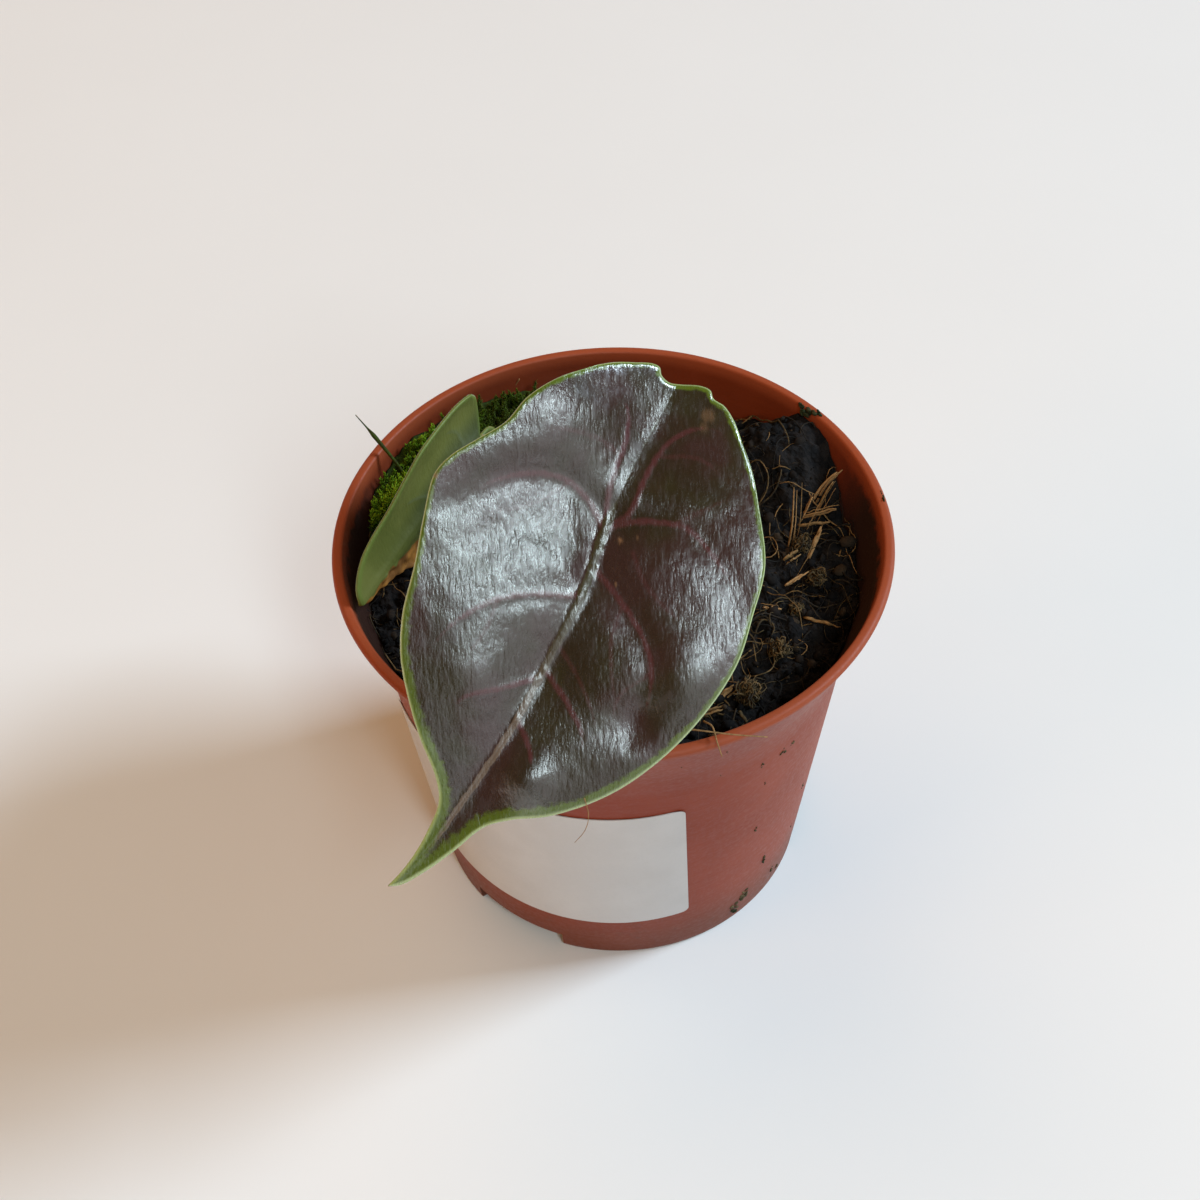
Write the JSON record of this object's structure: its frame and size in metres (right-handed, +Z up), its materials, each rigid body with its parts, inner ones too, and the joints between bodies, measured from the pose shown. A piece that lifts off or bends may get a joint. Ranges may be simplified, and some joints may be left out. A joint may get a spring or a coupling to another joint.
{
  "type": "potted alocasia azlanii",
  "caption": "Young potted alocasia: a glossy dark heart-shaped leaf and a small grey-green one over peat, coir and moss in a flared terracotta-coloured plastic pot.",
  "frame": {"origin": "centre of the pot's base, on the surface that the pot stands on", "axes": "+Z up along the pot's axis; -Y towards the front, which has the label and the tip of the big leaf"},
  "size_m": [0.06, 0.071, 0.0827],
  "materials": {
    "terracotta_plastic": "satin",
    "label_paper": "satin",
    "potting_mix": "matte",
    "moss": "matte",
    "corm": "matte",
    "leaf_stem": "satin",
    "dark_leaf": "gloss",
    "grey_green_leaf": "satin"
  },
  "bodies": {
    "root": {"pot": "terracotta_plastic", "label": "label_paper", "soil": "potting_mix", "moss": "moss", "corm_and_roots": "corm", "leaf_1_petiole": "leaf_stem", "leaf_2_petiole": "leaf_stem", "leaf_1_blade": "dark_leaf", "leaf_2_blade": "grey_green_leaf"}
  },
  "joints": []
}
